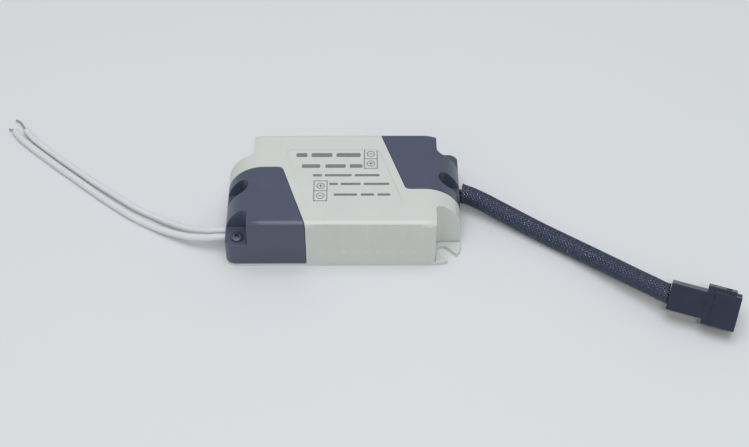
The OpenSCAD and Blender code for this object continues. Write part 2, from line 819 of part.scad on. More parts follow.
module connector_housing() {
  front = rear_l + shell_l;
  shell_top = shell_low + shell_h;
  hood_x = front - hood_setback - hood_l;
  hood_top = shell_top + hood_h;
  color("black") place_connector() difference() {
    union() {
      slab(0, rear_l, rear_w, -rear_h / 2, rear_h / 2);
      slab(rear_l, rear_l + collar_l, shell_w - 2 * collar_in, shell_low, shell_top - collar_in);
      slab(rear_l + collar_l, front, shell_w, shell_low, shell_top);
      slab(hood_x, hood_x + hood_l, hood_w, rear_h / 2, hood_top);
    }
    slab(front - mouth_l, front + cut, shell_w - 2 * shell_wall, shell_low + shell_wall, shell_top - shell_wall);
    slab(hood_x + hood_wall, front + cut, hood_w - 2 * hood_wall, 0, hood_top - hood_wall);
    slab(front - hood_setback - 2 * window_l, front - hood_setback - window_l, hood_w - 2 * hood_wall, 0, hood_top + cut);
    for (s = [-1, 1]) translate([0, s * contact_pitch / 2, contact_z]) {
      slab(cut, front, cavity, -cavity / 2, cavity / 2);
      slab(lance_x, lance_x + lance_slot[0], lance_slot[1], -rear_h, 0);
    }
  }
}

module connector_contacts() {
  front = rear_l + shell_l;
  color("gold") place_connector() for (s = [-1, 1]) translate([0, s * contact_pitch / 2, contact_z]) {
    slab(cut, front - mouth_l - fit, cavity - 2 * fit, fit - cavity / 2, cavity / 2 - fit);
    slab(cut, front - mouth_l + contact_reach, contact_t, -contact_t / 2, contact_t / 2);
  }
}

base_tray();
top_cover();
input_end_cap();
output_end_cap();
cap_screws();
circuit_board();
transformer_core();
transformer_bobbin();
transformer_winding();
input_capacitor();
output_capacitor();
input_choke();
safety_capacitor();
driver_chip();
bridge_rectifier();
fuse_resistor();
output_diode();
small_parts();
input_clamp();
output_clamp();
output_leads();
input_wire_near();
input_wire_far();
wire_tips();
braided_sleeve();
connector_housing();
connector_contacts();
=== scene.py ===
"""Looks of a small mains LED driver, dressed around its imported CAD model.

Everything is in metres, in the CAD frame: +X to the output end, +Y to the back,
+Z up, with the origin at the centre of the case's underside.
"""

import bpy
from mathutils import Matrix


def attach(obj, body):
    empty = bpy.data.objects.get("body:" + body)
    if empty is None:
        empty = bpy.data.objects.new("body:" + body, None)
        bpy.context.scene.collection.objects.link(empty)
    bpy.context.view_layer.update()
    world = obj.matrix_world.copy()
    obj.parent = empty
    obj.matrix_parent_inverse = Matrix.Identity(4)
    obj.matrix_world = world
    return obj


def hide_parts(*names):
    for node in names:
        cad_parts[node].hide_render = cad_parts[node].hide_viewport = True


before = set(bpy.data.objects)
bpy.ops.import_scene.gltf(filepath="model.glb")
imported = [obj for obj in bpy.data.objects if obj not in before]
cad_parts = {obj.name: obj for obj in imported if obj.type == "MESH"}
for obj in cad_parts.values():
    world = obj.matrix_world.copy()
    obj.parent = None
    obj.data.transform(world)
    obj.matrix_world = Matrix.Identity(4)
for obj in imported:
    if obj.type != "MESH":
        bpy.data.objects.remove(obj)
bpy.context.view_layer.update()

import logging
import math
from bisect import bisect_right
from dataclasses import dataclass
from enum import Enum
from typing import Iterable, Sequence

import bmesh
import bpy
from mathutils import Matrix, Vector

LOG = logging.getLogger("led_driver")
MM = 0.001
JOIN = 0.001 * MM
RIM_STEPS = 2
BODY = "root"
FLOAT = "NodeSocketFloat"
VECTOR = "NodeSocketVector"
# Socket numbers of a Mix node that mixes colours
MIX_INPUTS = (0, 6, 7)
MIX_OUTPUT = 2
Colour = tuple[float, float, float]
Point = tuple[float, float, float]


class Graph:
    """A shader node tree that is filled node by node."""

    def __init__(self, tree: bpy.types.NodeTree) -> None:
        """Takes the tree to fill.

        Args:
            tree: A material's tree, or a node group.
        """
        self.tree = tree

    def node(self, kind: str, inputs: dict | None = None, **settings) -> bpy.types.Node:
        """Adds a node, sets its options and fills its sockets.

        Args:
            kind: The node's type name.
            inputs: Socket name or number to a value, or to a socket to link from.
            **settings: The node's own options.

        Returns:
            The new node.
        """
        made = self.tree.nodes.new(kind)
        for option, value in settings.items():
            setattr(made, option, value)
        for key, value in (inputs or {}).items():
            if isinstance(value, bpy.types.NodeSocket):
                self.tree.links.new(value, made.inputs[key])
            else:
                made.inputs[key].default_value = value
        return made

    def math(self, operation: str, *values) -> bpy.types.NodeSocket:
        """Adds a Math node and returns its result.

        Args:
            operation: The name of the operation.
            *values: Numbers or sockets, in order.

        Returns:
            The socket that holds the result.
        """
        return self.node("ShaderNodeMath", dict(enumerate(values)), operation=operation).outputs[0]

    def mix(self, share, first, second) -> bpy.types.NodeSocket:
        """Mixes two colours.

        Args:
            share: Socket or number, 0 for the first colour and 1 for the second.
            first: Colour or socket.
            second: Colour or socket.

        Returns:
            The socket that holds the mixed colour.
        """
        made = self.node("ShaderNodeMix", data_type="RGBA")
        for number, value in zip(MIX_INPUTS, (share, first, second)):
            socket = made.inputs[number]
            if isinstance(value, bpy.types.NodeSocket):
                self.tree.links.new(value, socket)
            elif isinstance(value, tuple):
                socket.default_value = (*value, 1.0)
            else:
                socket.default_value = value
        return made.outputs[MIX_OUTPUT]

    def spread(self, value: bpy.types.NodeSocket, low: float, high: float) -> bpy.types.NodeSocket:
        """Maps a value from 0..1 to another range.

        Args:
            value: The socket to map.
            low: Result at 0.
            high: Result at 1.

        Returns:
            The socket that holds the mapped value.
        """
        ends = {"Value": value, "To Min": low, "To Max": high}
        return self.node("ShaderNodeMapRange", ends).outputs[0]

    def group(self, tree: bpy.types.NodeTree, **inputs) -> bpy.types.Node:
        """Places a node group.

        Args:
            tree: The group.
            **inputs: Values or links by socket name, with _ for a space.

        Returns:
            The group's node.
        """
        made = self.node("ShaderNodeGroup", node_tree=tree)
        for key, value in inputs.items():
            socket = made.inputs[key.replace("_", " ")]
            if isinstance(value, bpy.types.NodeSocket):
                self.tree.links.new(value, socket)
            else:
                socket.default_value = value
        return made


class Effects:
    """Shader node groups that several finishes share, each built once."""

    PATCH_SCALE = 420.0
    PATCH_RANGE = (0.35, 0.65)

    def __init__(self) -> None:
        """Builds the groups."""
        self.grain = self._mould_grain()
        # Broken lighter line on the rounded edges: rubbing together with a painted edge highlight
        self.rub = self._edge_rub_and_highlight()
        self.filaments = self._filaments()

    @staticmethod
    def _open(name: str, takes: dict[str, str],
              gives: Sequence[str]) -> tuple[Graph, bpy.types.Node, bpy.types.Node]:
        """Starts a node group with its sockets.

        Args:
            name: The group's name.
            takes: Input name to socket type.
            gives: Names of the outputs, which are numbers.

        Returns:
            The group's graph, its input node and its output node.
        """
        tree = bpy.data.node_groups.new(name, "ShaderNodeTree")
        for label, kind in takes.items():
            tree.interface.new_socket(name=label, in_out="INPUT", socket_type=kind)
        for label in gives:
            tree.interface.new_socket(name=label, in_out="OUTPUT", socket_type=FLOAT)
        graph = Graph(tree)
        return graph, graph.node("NodeGroupInput"), graph.node("NodeGroupOutput")

    def _mould_grain(self) -> bpy.types.NodeTree:
        """Fine spark-eroded grain with slow clouds of tone, as on moulded plastic."""
        takes = {"Vector": VECTOR, "Grain Scale": FLOAT, "Cloud Scale": FLOAT}
        graph, take, give = self._open("Mould grain", takes, ("Height", "Tone"))
        fine = graph.node("ShaderNodeTexNoise", {
            "Vector": take.outputs["Vector"], "Scale": take.outputs["Grain Scale"], "Detail": 2.0})
        cloud = graph.node("ShaderNodeTexNoise", {
            "Vector": take.outputs["Vector"], "Scale": take.outputs["Cloud Scale"], "Detail": 4.0,
            "Roughness": 0.6})
        graph.tree.links.new(fine.outputs[0], give.inputs["Height"])
        graph.tree.links.new(cloud.outputs[0], give.inputs["Tone"])
        return graph.tree

    def _edge_rub_and_highlight(self) -> bpy.types.NodeTree:
        """Broken line of rubbing and painted highlight along softened edges."""
        takes = {"Vector": VECTOR, "Edge": FLOAT, "Amount": FLOAT}
        graph, take, give = self._open("Edge rub", takes, ("Mask",))
        patchy = graph.node("ShaderNodeTexNoise", {
            "Vector": take.outputs["Vector"], "Scale": self.PATCH_SCALE, "Detail": 3.0})
        least, most = self.PATCH_RANGE
        broken = graph.node("ShaderNodeMapRange", {
            "Value": patchy.outputs[0], "From Min": least, "From Max": most})
        line = graph.math("MULTIPLY", take.outputs["Edge"], broken.outputs[0])
        mask = graph.math("MULTIPLY", line, take.outputs["Amount"])
        graph.tree.links.new(mask, give.inputs["Mask"])
        return graph.tree

    def _filaments(self) -> bpy.types.NodeTree:
        """Parallel round filaments across a flat strand."""
        takes = {"Across": FLOAT, "Count": FLOAT}
        graph, take, give = self._open("Filaments", takes, ("Height",))
        pace = graph.math("MULTIPLY", take.outputs["Count"], math.pi / 2)
        turn = graph.math("MULTIPLY", take.outputs["Across"], pace)
        graph.tree.links.new(graph.math("ABSOLUTE", graph.math("COSINE", turn)), give.inputs["Height"])
        return graph.tree


EFFECTS = Effects()


def new_material(name: str) -> tuple[bpy.types.Material, Graph, bpy.types.Node]:
    """Starts a material on its Principled shader.

    Args:
        name: The material's name.

    Returns:
        The material, its graph and its Principled node.
    """
    material = bpy.data.materials.new(name)
    material.use_nodes = True
    graph = Graph(material.node_tree)
    return material, graph, material.node_tree.nodes["Principled BSDF"]


@dataclass(frozen=True)
class MouldedPlastic:
    """Satin plastic with mould grain, slow tone clouds, and rubbed edges with a painted edge highlight."""

    name: str
    colour: Colour
    cloud_colour: Colour
    # Lighter colour of the rounded edges: rubbing together with a painted edge highlight
    rub_and_highlight_colour: Colour
    gloss: tuple[float, float] = (0.38, 0.5)
    grain_scale: float = 5200.0
    cloud_scale: float = 140.0
    grain_depth: float = 0.000012
    grain_strength: float = 0.35
    # Share of that lighter edge colour, for rubbing and the painted edge highlight
    rub: float = 0.25
    specular: float = 0.5

    def material(self) -> bpy.types.Material:
        """Builds the material.

        Returns:
            The material, which reads Object coordinates and the face attribute soft_edge.
        """
        material, graph, shader = new_material(self.name)
        place = graph.node("ShaderNodeTexCoord").outputs["Object"]
        edge = graph.node("ShaderNodeAttribute", attribute_name="soft_edge").outputs["Fac"]
        grain = graph.group(EFFECTS.grain, Vector=place, Grain_Scale=self.grain_scale,
                            Cloud_Scale=self.cloud_scale)
        rub = graph.group(EFFECTS.rub, Vector=place, Edge=edge, Amount=self.rub)
        cloudy = graph.mix(grain.outputs["Tone"], self.colour, self.cloud_colour)
        # Rubbing and painted edge highlight: the rounded edge faces turn toward the lighter rub colour in
        # broken patches
        colour = graph.mix(rub.outputs["Mask"], cloudy, self.rub_and_highlight_colour)
        bump = graph.node("ShaderNodeBump", {
            "Strength": self.grain_strength, "Distance": self.grain_depth,
            "Height": grain.outputs["Height"]})
        link = graph.tree.links.new
        link(colour, shader.inputs["Base Color"])
        link(graph.spread(grain.outputs["Tone"], *self.gloss), shader.inputs["Roughness"])
        link(bump.outputs[0], shader.inputs["Normal"])
        shader.inputs["Specular IOR Level"].default_value = self.specular
        return material


@dataclass(frozen=True)
class BareMetal:
    """Metal with fine scratches and a little tarnish."""

    name: str
    colour: Colour
    tarnish: Colour
    gloss: tuple[float, float] = (0.28, 0.5)
    scale: float = 900.0
    fineness: float = 4.0
    scratch_strength: float = 0.2
    scratch_depth: float = 0.00001

    def material(self) -> bpy.types.Material:
        """Builds the material.

        Returns:
            The material, which reads Object coordinates.
        """
        material, graph, shader = new_material(self.name)
        place = graph.node("ShaderNodeTexCoord").outputs["Object"]
        grain = graph.group(EFFECTS.grain, Vector=place, Grain_Scale=self.fineness * self.scale,
                            Cloud_Scale=self.scale)
        bump = graph.node("ShaderNodeBump", {
            "Strength": self.scratch_strength, "Distance": self.scratch_depth,
            "Height": grain.outputs["Height"]})
        link = graph.tree.links.new
        link(graph.mix(grain.outputs["Tone"], self.colour, self.tarnish), shader.inputs["Base Color"])
        link(graph.spread(grain.outputs["Tone"], *self.gloss), shader.inputs["Roughness"])
        link(bump.outputs[0], shader.inputs["Normal"])
        shader.inputs["Metallic"].default_value = 1.0
        return material


@dataclass(frozen=True)
class BraidedNylon:
    """Woven strands of glossy filaments that follow the attribute across."""

    name: str
    colour: Colour
    lit_colour: Colour
    tint: Colour = (0.85, 0.92, 1.0)
    count: float = 5.0
    glint_scale: float = 2200.0
    glint_range: tuple[float, float] = (0.58, 0.72)
    gloss: tuple[float, float] = (0.26, 0.04)
    specular: tuple[float, float] = (0.6, 1.0)
    thread_strength: float = 0.3
    thread_depth: float = 0.00006

    def material(self) -> bpy.types.Material:
        """Builds the material.

        Returns:
            The material, which reads Object coordinates and the point attribute across.
        """
        material, graph, shader = new_material(self.name)
        place = graph.node("ShaderNodeTexCoord").outputs["Object"]
        across = graph.node("ShaderNodeAttribute", attribute_name="across").outputs["Fac"]
        threads = graph.group(EFFECTS.filaments, Across=across, Count=self.count)
        cells = graph.node("ShaderNodeTexVoronoi", {"Vector": place, "Scale": self.glint_scale})
        least, most = self.glint_range
        glint = graph.node("ShaderNodeMapRange", {
            "Value": cells.outputs["Color"], "From Min": least, "From Max": most}).outputs[0]
        bump = graph.node("ShaderNodeBump", {
            "Strength": self.thread_strength, "Distance": self.thread_depth,
            "Height": threads.outputs["Height"]})
        link = graph.tree.links.new
        colour = graph.mix(threads.outputs["Height"], self.colour, self.lit_colour)
        link(colour, shader.inputs["Base Color"])
        link(graph.spread(glint, *self.gloss), shader.inputs["Roughness"])
        link(graph.spread(glint, *self.specular), shader.inputs["Specular IOR Level"])
        link(bump.outputs[0], shader.inputs["Normal"])
        shader.inputs["Specular Tint"].default_value = (*self.tint, 1.0)
        return material


class Finish(Enum):
    """The finishes of the driver, one for each kind of surface."""

    # The third colour of each moulded finish is laid on the rounded edges: rubbing with a painted edge
    # highlight
    WHITE_CASE = MouldedPlastic("white_case", (0.57, 0.6, 0.58), (0.62, 0.65, 0.63), (0.68, 0.7, 0.68),
                                gloss=(0.27, 0.4))
    SLATE_CAP = MouldedPlastic("slate_cap", (0.048, 0.061, 0.106), (0.061, 0.077, 0.13),
                               (0.13, 0.147, 0.2), gloss=(0.3, 0.44), rub=0.35, specular=0.7)
    CONNECTOR = MouldedPlastic("connector_black", (0.004, 0.009, 0.032), (0.008, 0.014, 0.045),
                               (0.05, 0.058, 0.095), gloss=(0.3, 0.46), grain_scale=3800.0,
                               cloud_scale=260.0, rub=0.5)
    INSULATION = MouldedPlastic("wire_insulation", (0.66, 0.66, 0.69), (0.71, 0.71, 0.74),
                                (0.74, 0.74, 0.76), gloss=(0.36, 0.5), grain_scale=2600.0,
                                cloud_scale=180.0, rub=0.0)
    LEAD = MouldedPlastic("lead_insulation", (0.012, 0.013, 0.02), (0.02, 0.021, 0.03), (0.05, 0.05, 0.06))
    INK = MouldedPlastic("label_ink", (0.15, 0.15, 0.165), (0.24, 0.24, 0.255), (0.3, 0.3, 0.31),
                         gloss=(0.45, 0.6), cloud_scale=900.0, rub=0.0)
    BRAID = BraidedNylon("braided_nylon", (0.01, 0.015, 0.04), (0.024, 0.033, 0.074))
    SCREW = BareMetal("black_zinc", (0.17, 0.186, 0.24), (0.1, 0.11, 0.145), gloss=(0.5, 0.68))
    TINNED = BareMetal("tinned_copper", (0.17, 0.17, 0.185), (0.08, 0.08, 0.09), gloss=(0.35, 0.55),
                       scale=2400.0)
    CONTACT = BareMetal("plated_contact", (0.72, 0.6, 0.34), (0.55, 0.42, 0.2))
    LAMINATE = MouldedPlastic("board_laminate", (0.36, 0.22, 0.08), (0.46, 0.3, 0.13), (0.5, 0.36, 0.2),
                              gloss=(0.5, 0.65), cloud_scale=420.0)
    FERRITE = MouldedPlastic("ferrite", (0.05, 0.05, 0.055), (0.1, 0.1, 0.105), (0.2, 0.2, 0.2),
                             gloss=(0.55, 0.75), grain_scale=2200.0, grain_strength=0.7)
    BOBBIN = MouldedPlastic("bobbin", (0.5, 0.45, 0.33), (0.58, 0.53, 0.4), (0.65, 0.6, 0.5))
    TAPE = MouldedPlastic("winding_tape", (0.7, 0.46, 0.03), (0.8, 0.56, 0.06), (0.85, 0.65, 0.2),
                          gloss=(0.2, 0.32), cloud_scale=600.0)
    CAN = MouldedPlastic("can_sleeve", (0.02, 0.025, 0.08), (0.03, 0.04, 0.12), (0.1, 0.1, 0.2),
                         gloss=(0.2, 0.32))
    CERAMIC = MouldedPlastic("dipped_ceramic", (0.03, 0.1, 0.36), (0.05, 0.15, 0.45), (0.2, 0.3, 0.6),
                             gloss=(0.15, 0.3), cloud_scale=500.0)
    CHIP = MouldedPlastic("moulded_package", (0.014, 0.014, 0.016), (0.025, 0.025, 0.028),
                          (0.08, 0.08, 0.08), gloss=(0.5, 0.65))
    RESISTOR = MouldedPlastic("resistor_paint", (0.06, 0.22, 0.13), (0.1, 0.3, 0.19), (0.25, 0.4, 0.3),
                              gloss=(0.3, 0.42), cloud_scale=800.0)

    def material(self) -> bpy.types.Material:
        """Returns this finish's material, built the first time it is asked for."""
        return bpy.data.materials.get(self.value.name) or self.value.material()


def clean(bm: bmesh.types.BMesh) -> None:
    """Merges points that coincide and turns the normals outward.

    Args:
        bm: The closed shape to clean.
    """
    bmesh.ops.remove_doubles(bm, verts=bm.verts, dist=JOIN)
    bm.normal_update()
    bmesh.ops.recalc_face_normals(bm, faces=bm.faces)


def keep_piece(bm: bmesh.types.BMesh, name: str, finishes: Sequence[Finish],
               stands_for: Iterable[str] = (), sharp_deg: float = 35.0) -> bpy.types.Object:
    """Turns a bmesh into a finished piece that rides on the driver.

    Args:
        bm: The shape, in its place. It is freed.
        name: The piece's name.
        finishes: Finishes in the order of the faces' material numbers.
        stands_for: CAD nodes that the piece replaces.
        sharp_deg: Angle past which an edge is shaded sharp.

    Returns:
        The piece's object.
    """
    mesh = bpy.data.meshes.new(name)
    bm.to_mesh(mesh)
    bm.free()
    mesh.shade_smooth()
    mesh.set_sharp_from_angle(angle=math.radians(sharp_deg))
    for finish in finishes:
        mesh.materials.append(finish.material())
    piece = bpy.data.objects.new(name, mesh)
    bpy.context.scene.collection.objects.link(piece)
    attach(piece, BODY)
    if stands_for:
        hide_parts(*stands_for)
    LOG.info("%s: %d faces", name, len(mesh.polygons))
    return piece


@dataclass
class SoftCopy:
    """A CAD node's shape with its sharp edges rounded, as a mould leaves them."""

    node: str
    finish: Finish
    slot: str
    edge: float = 0.15 * MM
    room: float = 2.6
    sharp_deg: float = 50.0
    flat_deg: float = 0.5
    steps: int = 3
    merge: float = 0.02 * MM
    spike_deg: float = 12.0
    spike_l: float = 0.3 * MM
    spike_area: float = 3.0 * MM * MM

    def build(self) -> bpy.types.Object:
        """Copies the node, rounds its edges and dresses it.

        Returns:
            The piece that stands for the node.
        """
        bm = bmesh.new()
        bm.from_mesh(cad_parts[self.node].data)
        bmesh.ops.remove_doubles(bm, verts=bm.verts, dist=self.merge)
        limit = math.radians(self.sharp_deg)
        for edge in bm.edges:
            edge.smooth = not (edge.is_manifold and edge.calc_face_angle() > limit)
        bmesh.ops.dissolve_limit(bm, angle_limit=math.radians(self.flat_deg),
                                 use_dissolve_boundaries=False, verts=bm.verts, edges=bm.edges,
                                 delimit={"SHARP"})
        soft = bm.faces.layers.float.new("soft_edge")
        edges = [e for e in bm.edges if not e.smooth and self._has_room(e)]
        made = bmesh.ops.bevel(bm, geom=edges, offset=self.edge, offset_type="OFFSET", affect="EDGES",
                               segments=self.steps, profile=0.5, material=-1, clamp_overlap=False,
                               loop_slide=False)
        for face in made["faces"]:
            face[soft] = 1.0
        self._unfold(bm)
        clean(bm)
        piece = keep_piece(bm, self.node + "_soft", [self.finish], [self.node])
        weigh = piece.modifiers.new("even_normals", "WEIGHTED_NORMAL")
        weigh.keep_sharp = True
        return piece

    def _unfold(self, bm: bmesh.types.BMesh) -> None:
        """Closes short spikes on wide faces, where the rounding of one edge runs back past the next one.

        Args:
            bm: The rounded shape.
        """
        limit = math.radians(self.spike_deg)
        targets = {}
        for face in [f for f in bm.faces if len(f.verts) > 4 and f.calc_area() > self.spike_area]:
            for loop in face.loops:
                edges = (loop.edge, loop.link_loop_prev.edge)
                short = min(edges, key=lambda edge: edge.calc_length())
                if short.calc_length() < self.spike_l and loop.calc_angle() < limit:
                    kept = short.other_vert(loop.vert)
                    taken = {*targets, *targets.values()}
                    if loop.vert not in taken and kept not in targets:
                        targets[loop.vert] = kept
        bmesh.ops.weld_verts(bm, targetmap=targets)

    def _has_room(self, edge: bmesh.types.BMEdge) -> bool:
        """Tells whether both faces of an edge reach far enough from it for the rounding.

        Args:
            edge: The edge to look at.

        Returns:
            True where the rounding fits on both sides.
        """
        reach = self.room * self.edge
        return all(face.calc_area() >= reach * edge.calc_length() for face in edge.link_faces)


class CaseShells:
    """The base tray, the white cover and the two slate end caps."""

    def build(self) -> list[bpy.types.Object]:
        """Builds the four shells.

        Returns:
            Their pieces.
        """
        shells = (
            SoftCopy("base_tray", Finish.WHITE_CASE, "white_plastic"),
            SoftCopy("top_cover", Finish.WHITE_CASE, "white_plastic"),
            SoftCopy("input_end_cap", Finish.SLATE_CAP, "slate_plastic"),
            SoftCopy("output_end_cap", Finish.SLATE_CAP, "slate_plastic"),
        )
        return [shell.build() for shell in shells]


@dataclass
class CapScrews:
    """Two pan-head screws with a cross recess, one in each cap's pocket."""

    place: tuple[float, float] = (31.8 * MM, 15.6 * MM)
    seat: float = 9.0 * MM
    tail: float = 2.3 * MM
    head_r: float = 1.9 * MM
    head_h: float = 1.0 * MM
    shank_r: float = 0.9 * MM
    crown: tuple[tuple[float, float], ...] = ((0.55, 0.03), (0.82, 0.16), (0.96, 0.38), (1.0, 0.62))
    recess: tuple[float, float, float] = (2.3 * MM, 0.55 * MM, 0.62 * MM)
    recess_taper: float = 0.5
    sides: int = 40

    def build(self) -> bpy.types.Object:
        """Turns the screw, cuts its recess and sets one at each end.

        Returns:
            The piece that holds both screws.
        """
        bm = self._cut_recess(self._turned())
        bmesh.ops.translate(bm, verts=bm.verts, vec=(*self.place, 0.0))
        bmesh.ops.spin(bm, geom=[*bm.verts, *bm.edges, *bm.faces], cent=(0, 0, 0), axis=(0, 0, 1),
                       dvec=(0, 0, 0), angle=math.pi, steps=1, use_duplicate=True)
        return keep_piece(bm, "cap_screws_cross", [Finish.SCREW], ["cap_screws"],
                          sharp_deg=30.0)

    def _turned(self) -> bmesh.types.BMesh:
        """Spins the screw's half section about its axis.

        Returns:
            A closed solid of revolution on the Z axis.
        """
        top = self.seat + self.head_h
        section = (
            (0.0, top), *((r * self.head_r, top - z * self.head_h) for r, z in self.crown),
            (self.head_r, self.seat), (self.shank_r, self.seat), (self.shank_r, self.tail + self.shank_r),
            (0.0, self.tail),
        )
        bm = bmesh.new()
        verts = [bm.verts.new((r, 0.0, z)) for r, z in section]
        edges = [bm.edges.new(pair) for pair in zip(verts, verts[1:])]
        bmesh.ops.spin(bm, geom=[*verts, *edges], cent=(0, 0, 0), axis=(0, 0, 1), dvec=(0, 0, 0),
                       angle=2 * math.pi, steps=self.sides, use_merge=True)
        clean(bm)
        return bm

    def _cut_recess(self, screw: bmesh.types.BMesh) -> bmesh.types.BMesh:
        """Cuts the cross recess into the head.

        Args:
            screw: The turned screw. It is freed.

        Returns:
            The cut screw.
        """
        length, width, depth = self.recess
        floor = self.seat + self.head_h - depth
        cutters = []
        for turn in (0.0, math.pi / 2):
            bm = bmesh.new()
            spun = Matrix.Rotation(turn + math.pi / 4, 4, "Z")
            shape = spun @ Matrix.Diagonal((length, width, 2 * depth, 1.0))
            lift = Matrix.Translation((0, 0, floor + depth))
            bmesh.ops.create_cube(bm, size=1.0, matrix=lift @ shape)
            low = [v for v in bm.verts if v.co.z < floor + depth / 2]
            bmesh.ops.scale(bm, vec=(self.recess_taper, self.recess_taper, 1.0), verts=low)
            cutters.append(bm)
        return carve(screw, cutters)


def carve(solid: bmesh.types.BMesh, cutters: Sequence[bmesh.types.BMesh]) -> bmesh.types.BMesh:
    """Subtracts closed shapes from a closed shape.

    Args:
        solid: The shape to cut. It is freed.
        cutters: The shapes to take away. They are freed.

    Returns:
        The cut shape.
    """
    def stand(bm: bmesh.types.BMesh, label: str) -> bpy.types.Object:
        """Puts a bmesh into the scene for the modifier."""
        mesh = bpy.data.meshes.new(label)
        bm.to_mesh(mesh)
        bm.free()
        made = bpy.data.objects.new(label, mesh)
        bpy.context.scene.collection.objects.link(made)
        return made

    blank = stand(solid, "blank")
    tools = [stand(cutter, f"cutter_{i}") for i, cutter in enumerate(cutters)]
    for tool in tools:
        cut = blank.modifiers.new(tool.name, "BOOLEAN")
        cut.operation = "DIFFERENCE"
        cut.solver = "EXACT"
        cut.object = tool
    graph = bpy.context.evaluated_depsgraph_get()
    result = bmesh.new()
    result.from_mesh(bpy.data.meshes.new_from_object(blank.evaluated_get(graph)))
    for used in (blank, *tools):
        bpy.data.objects.remove(used)
    clean(result)
    return result


@dataclass
class LabelPrint:
    """Plain printed bars and polarity boxes on the sunk label panel."""

    panel_z: float = 18.3 * MM
    film: float = 0.02 * MM
    box: tuple[float, float] = (3.9, 8.2)
    frame_w: float = 0.28
    ring_r: float = 1.25
    ring_w: float = 0.26
    sign_l: float = 1.3
    corner: float = 0.3
    corner_steps: int = 3
    ring_sides: int = 32

    def build(self) -> bpy.types.Object:
        """Lays out the bars and boxes.

        Returns:
            The printed piece.
        """
        bm = bmesh.new()
        rows = (
            (9.7, 1.7, ((-14.5, -11.1), (-9.9, -3.5), (-2.3, 5.1))),
            (5, 1.5, ((-12.7, -7.1), (-5.6, 0.6), (1.8, 5.7))),
            (1.1, 0.95, ((-9.3, -6.5), (-5.7, 2.4), (3.3, 10.8))),
            (-2.5, 0.95, ((-4.3, -1.7), (-0.9, 5.1), (6.0, 13.7))),
            (-6.9, 0.95, ((-2.9, 4.1), (5.1, 9.1), (10.1, 13.9))),
        )
        for y, height, runs in rows:
            for start, end in runs:
                self._bar(bm, ((start + end) / 2, y), (end - start, height))
        self._polarity_box(bm, (8.2, 8.1), upper_plus=False)
        self._polarity_box(bm, (-6.9, -5.3), upper_plus=True)
        return keep_piece(bm, "label_print", [Finish.INK])

    def _bar(self, bm: bmesh.types.BMesh, middle: tuple[float, float],
             size: tuple[float, float]) -> None:
        """Adds a flat bar.

        Args:
            bm: The mesh to add to.
            middle: Its middle on the panel, in millimetres.
            size: Its length and height, in millimetres.
        """
        place = Matrix.Translation((middle[0] * MM, middle[1] * MM, self.panel_z))
        shape = Matrix.Diagonal((size[0] * MM, size[1] * MM, 2 * self.film, 1.0))
        made = bmesh.ops.create_cube(bm, size=1.0, matrix=place @ shape)
        upright = [e for e in {e for v in made["verts"] for e in v.link_edges}
                   if abs(e.verts[0].co.z - e.verts[1].co.z) > self.film]
        bmesh.ops.bevel(bm, geom=upright, offset=self.corner * min(size) * MM, offset_type="OFFSET",
                        affect="EDGES", segments=self.corner_steps, profile=0.5, material=-1)

    def _ring(self, bm: bmesh.types.BMesh, middle: tuple[float, float]) -> None:
        """Adds a flat ring.

        Args:
            bm: The mesh to add to.
            middle: Its middle on the panel, in millimetres.
        """
        x, y = (value * MM for value in middle)
        inner = (self.ring_r - self.ring_w) * MM
        outer = self.ring_r * MM
        corners = [(inner, -self.film), (outer, -self.film), (outer, self.film), (inner, self.film)]
        verts = [bm.verts.new((x + r, y, self.panel_z + z)) for r, z in corners]
        edges = [bm.edges.new((verts[i], verts[(i + 1) % 4])) for i in range(4)]
        bmesh.ops.spin(bm, geom=[*verts, *edges], cent=(x, y, 0), axis=(0, 0, 1), dvec=(0, 0, 0),
                       angle=2 * math.pi, steps=self.ring_sides, use_merge=True)
        bmesh.ops.recalc_face_normals(bm, faces=bm.faces)

    def _polarity_box(self, bm: bmesh.types.BMesh, middle: tuple[float, float],
                      upper_plus: bool) -> None:
        """Adds a framed pair of ringed signs, plus and minus.

        Args:
            bm: The mesh to add to.
            middle: The box's middle on the panel, in millimetres.
            upper_plus: Whether the plus stands over the minus.
        """
        x, y = middle
        width, height = self.box
        for side in (-1, 1):
            self._bar(bm, (x + side * width / 2, y), (self.frame_w, height + self.frame_w))
            self._bar(bm, (x, y + side * height / 2), (width, self.frame_w))
            self._ring(bm, (x, y + side * height / 4))
            self._bar(bm, (x, y + side * height / 4), (self.sign_l, self.frame_w))
            if (side > 0) == upper_plus:
                self._bar(bm, (x, y + side * height / 4), (self.frame_w, self.sign_l))
        self._bar(bm, (x, y), (width, self.frame_w))


